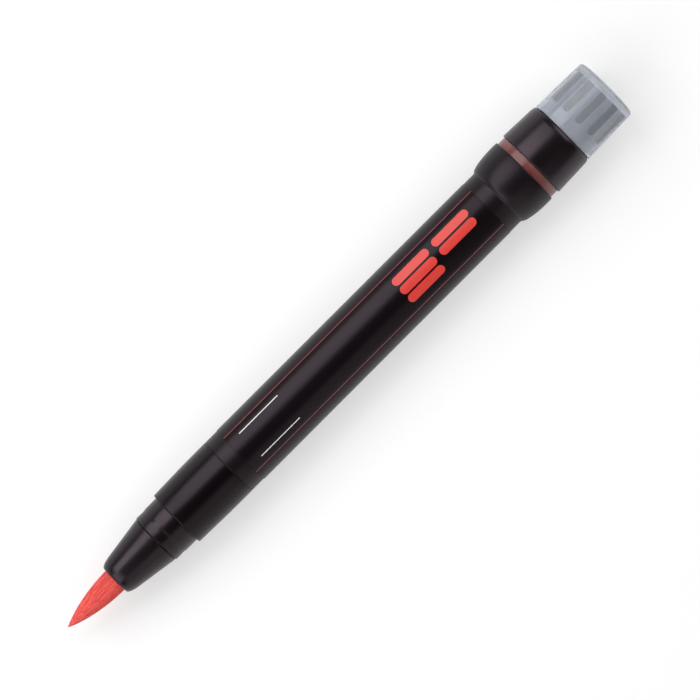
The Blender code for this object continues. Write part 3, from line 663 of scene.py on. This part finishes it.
def ink(name, colour):
    """Screen ink: even colour with a faint mottle, slightly raised."""
    made, tree, shader = new_material(name)
    mottle = noise(tree, 1200.0)
    darker = tuple(channel * 0.93 for channel in colour)
    tree.links.new(tint(tree, mottle, darker, colour), shader.inputs["Base Color"])
    tree.links.new(spread(tree, mottle, 0.34, 0.43), shader.inputs["Roughness"])
    bump(tree, shader, mottle, 0.003 * MM, 0.4)
    return made


def curved_patch(bm, radius_at, front, rear, angle, width, low, high, round_front=False, round_rear=False):
    """A closed patch that follows a round surface, from its stations, angle, width and two heights."""
    across_steps = 6
    half = width / 2
    turns = [math.pi / 2 * step / 8 for step in range(9)]
    stops = [front + half * (1 - math.cos(turn)) for turn in turns] if round_front else [front]
    stops += [rear - half * (1 - math.cos(turn)) for turn in reversed(turns)] if round_rear else [rear]
    sections = []
    for along in stops:
        inside = min(along - front if round_front else half, rear - along if round_rear else half, half)
        reach = max(math.sqrt(max(half**2 - (half - inside) ** 2, 0)), 0.03)
        section = []
        for height in (low, high):
            line = []
            for step in range(across_steps + 1):
                arc = reach * (2 * step / across_steps - 1) / radius_at(along)
                line.append(on_axis(along, radius_at(along) + height, math.radians(angle) + arc))
            section += line if height == low else line[::-1]
        sections.append([bm.verts.new(point) for point in section])
    for near, far in zip(sections, sections[1:]):
        bridge(bm, near, far)
    bm.faces.new(sections[0])
    bm.faces.new(sections[-1])


def film_surface(along):
    """The film's radius, which shrinks slightly towards the tail."""
    return film_r - film_draw * (along - film_front) / (film_rear - film_front)


def printed(name, material, front, rear, angle, width, tab=False):
    """One printed shape in thin ink; a tab has round ends."""
    bm = bmesh.new()
    curved_patch(bm, film_surface, front, rear, angle, width, ink_foot, ink_top, tab, tab)
    return finish_piece(name, bm, material, "barrel_body", "printed_film", sharp=50)


ink_foot = 0.006
ink_top = 0.022
red_ink = ink("red_ink", (0.67, 0.042, 0.030))
hairline_ink = ink("hairline_ink", (0.24, 0.045, 0.038))
white_ink = ink("white_ink", (0.80, 0.80, 0.80))
line_width = 0.2
hairline_angle = 43
rule_angle = 27.6
rule_front = film_front + 3.1
rule_rear = film_front + 14.4
for place, side in (("upper", -1), ("lower", 1)):
    printed(f"hairline_{place}", hairline_ink, film_front, film_rear, hairline_angle * side, line_width)
    printed(f"rule_{place}", white_ink, rule_front, rule_rear, rule_angle * side, line_width)
tab_front_at = 99.0
tab_rear_at = 110.6
tab_length = 10.2
tab_width = 2.0
tab_angles = (-21.0, -1.0, 18.5)
for row, angle in enumerate(tab_angles):
    printed(f"tab_front_{row + 1}", red_ink, tab_front_at, tab_front_at + tab_length, angle, tab_width, True)
for row, angle in enumerate(tab_angles[:2]):
    printed(f"tab_rear_{row + 1}", red_ink, tab_rear_at, tab_rear_at + tab_length, angle, tab_width, True)


# ---- The travel band -----------------------------------------------------------------------------
# A tinted see-through ring between collar and tail sleeve. It slides into the collar when the tail is
# pressed, and its inner wall shows as a paler stripe towards the back.

tinted, tree, shader = new_material("tinted_clear")
shade = noise(tree, 240.0, (0.2, 1.0, 1.0))
front_tint = tint(tree, shade, (0.15, 0.030, 0.028), (0.19, 0.042, 0.038))
rear_tint = tint(tree, shade, (0.14, 0.058, 0.053), (0.17, 0.075, 0.068))
place = tree.nodes.new("ShaderNodeTexCoord")
split = tree.nodes.new("ShaderNodeSeparateXYZ")
tree.links.new(place.outputs["Object"], split.inputs["Vector"])
sleeve_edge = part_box("tail_sleeve")[0].x
paler = fade(tree, split.outputs["X"], sleeve_edge - 1.3 * MM, sleeve_edge - 0.5 * MM)
blend = tree.nodes.new("ShaderNodeMix")
blend.data_type = "RGBA"
tree.links.new(paler, blend.inputs["Factor"])
tree.links.new(front_tint, blend.inputs["A"])
tree.links.new(rear_tint, blend.inputs["B"])
tree.links.new(blend.outputs["Result"], shader.inputs["Base Color"])
tree.links.new(spread(tree, shade, 0.22, 0.32), shader.inputs["Roughness"])
shader.inputs["Specular IOR Level"].default_value = 0.5
shader.inputs["Subsurface Weight"].default_value = 0.2
shader.inputs["Subsurface Radius"].default_value = (1.6 * MM, 0.5 * MM, 0.4 * MM)
bump(tree, shader, noise(tree, 2200.0), 0.004 * MM, 0.4)

band_front, band_rear = ends("travel_band")
sleeve_front, sleeve_rear = ends("tail_sleeve")
band_r = outer_radius("travel_band") + 0.04
band_bore_r = 6.3
band_step_r = 7.22
outline = rounded([
    (band_front, band_bore_r, 0),
    (band_front, band_r, 0.1),
    (sleeve_front - 0.15, band_r, 0.05),
    (sleeve_front - 0.15, band_step_r, 0),
    (band_rear, band_step_r, 0.1),
    (band_rear, band_bore_r, 0),
])
bm = bmesh.new()
lathe(bm, outline)
finish_piece("travel_ring", bm, tinted, "knock_body", "clear_red", "travel_band")


# ---- The tail sleeve -----------------------------------------------------------------------------
# A glossy black sleeve that slides with the press cap. It tapers slightly and rounds over at the back to
# meet the narrower cap.

tail_black = black_plastic("tail_black", (0.0016, 0.0009, 0.0013), 0.29, 1500.0, 0.003, 0.46)
cap_front, cap_rear = ends("end_cap")
cap_r = outer_radius("end_cap") + 0.03
sleeve_r = outer_radius("tail_sleeve") + 0.04
band_seat_r = 7.32
plug_hole_r = 5.2
sleeve_end_wall = 1.8
outline = rounded([
    (sleeve_front, band_seat_r, 0),
    (sleeve_front, sleeve_r, 0.22),
    (sleeve_rear - 0.9, sleeve_r - 0.3, 0.6),
    (sleeve_rear - 0.15, sleeve_r - 0.55, 0.2),
    (sleeve_rear, cap_r - 0.35, 0.1),
    (sleeve_rear, plug_hole_r, 0),
    (sleeve_rear - sleeve_end_wall, plug_hole_r, 0),
    (sleeve_rear - sleeve_end_wall, band_seat_r, 0),
])
bm = bmesh.new()
lathe(bm, outline)
finish_piece("tail_ring", bm, tail_black, "knock_body", "gloss_black", "tail_sleeve")


# ---- The plug under the cap ----------------------------------------------------------------------
# A grey moulding that carries the cap and takes the screw rod's end. Its twelve ribs have rounded fronts
# and reach the cap's wall. They are coloured near black, a painted shade that shows through the cap as
# darker bars.


def grey_plastic(name, low, high):
    """Grey moulded plastic with a faint cloudiness."""
    made, tree, shader = new_material(name)
    cloud = noise(tree, 300.0)
    tree.links.new(tint(tree, cloud, low, high), shader.inputs["Base Color"])
    tree.links.new(spread(tree, cloud, 0.4, 0.52), shader.inputs["Roughness"])
    bump(tree, shader, noise(tree, 2400.0), 0.006 * MM, 0.5)
    return made


core_grey = grey_plastic("core_grey", (0.32, 0.345, 0.39), (0.36, 0.385, 0.43))
# The ribs' near-black colour is painted shade, for the darker bars they show through the cap.
rib_painted_shade = grey_plastic("rib_painted_shade", (0.05, 0.056, 0.072), (0.065, 0.072, 0.09))
plug_front, plug_rear = ends("end_plug")
cap_wall = 0.55
rib_count = 12
rib_width = 1.6
rib_depth = 0.7
first_rib = -25
rib_front = cap_front + 3.3
rib_top = cap_r - cap_wall - 0.05
core_r = rib_top - 0.5
spigot_bore_r = 4.0
plug_spigot_r = 5.1
spigot_bore_rear = 151.0
rod_hole_r = 2.3
plug_end_wall = 0.8
bm = bmesh.new()
lathe(bm, rounded([
    (plug_front, spigot_bore_r, 0),
    (plug_front, plug_spigot_r, 0),
    (cap_front + 0.1, plug_spigot_r, 0),
    (cap_front + 0.1, core_r, 0.1),
    (plug_rear, core_r, 0.3),
    (plug_rear, 0, 0),
    (plug_rear - plug_end_wall, 0, 0),
    (plug_rear - plug_end_wall, rod_hole_r, 0),
    (spigot_bore_rear, rod_hole_r, 0),
    (spigot_bore_rear, spigot_bore_r, 0),
]))
finish_piece("plug_core", bm, core_grey, "knock_body", "grey_plastic", "end_plug", sharp=40)


def rib_surface(along):
    """The ribs' outer radius, the same all along."""
    return rib_top


rib_rear = plug_rear - 0.05
bm = bmesh.new()
for number in range(rib_count):
    rib_angle = 360 / rib_count * number + first_rib
    curved_patch(bm, rib_surface, rib_front, rib_rear, rib_angle, rib_width, -rib_depth, 0, True)
finish_piece("plug_ribs", bm, rib_painted_shade, "knock_body", "grey_plastic", sharp=40)


# ---- The press cap -------------------------------------------------------------------------------
# A frosted see-through cup that the thumb presses, with a small lip in front and an eased rear edge. It is
# moulded in one with a thick end and snaps over the plug.

frosted, tree, shader = new_material("frosted_clear")
haze = noise(tree, 420.0, (0.4, 1.0, 1.0))
tree.links.new(tint(tree, haze, (0.72, 0.77, 0.84), (0.78, 0.82, 0.88)), shader.inputs["Base Color"])
tree.links.new(spread(tree, haze, 0.10, 0.15), shader.inputs["Roughness"])
shader.inputs["Transmission Weight"].default_value = 0.78
shader.inputs["IOR"].default_value = 1.45
bump(tree, shader, noise(tree, 3400.0, detail=2.0), 0.004 * MM, 0.4)

cap_end_wall = 1.6
outline = rounded([
    (cap_front, cap_r - cap_wall, 0),
    (cap_front, cap_r, 0.1),
    (cap_front + 0.45, cap_r, 0.12),
    (cap_front + 0.6, cap_r - 0.05, 0.1),
    (cap_rear - 1.4, cap_r - 0.26, 0.5),
    (cap_rear, cap_r - 0.32, 1.15),
    (cap_rear, 0, 0),
    (cap_rear - cap_end_wall, 0, 0),
    (cap_rear - cap_end_wall, cap_r - cap_wall - 0.2, 0.3),
])
bm = bmesh.new()
lathe(bm, outline)
finish_piece("press_cap", bm, frosted, "knock_body", "frosted_grey", "end_cap")
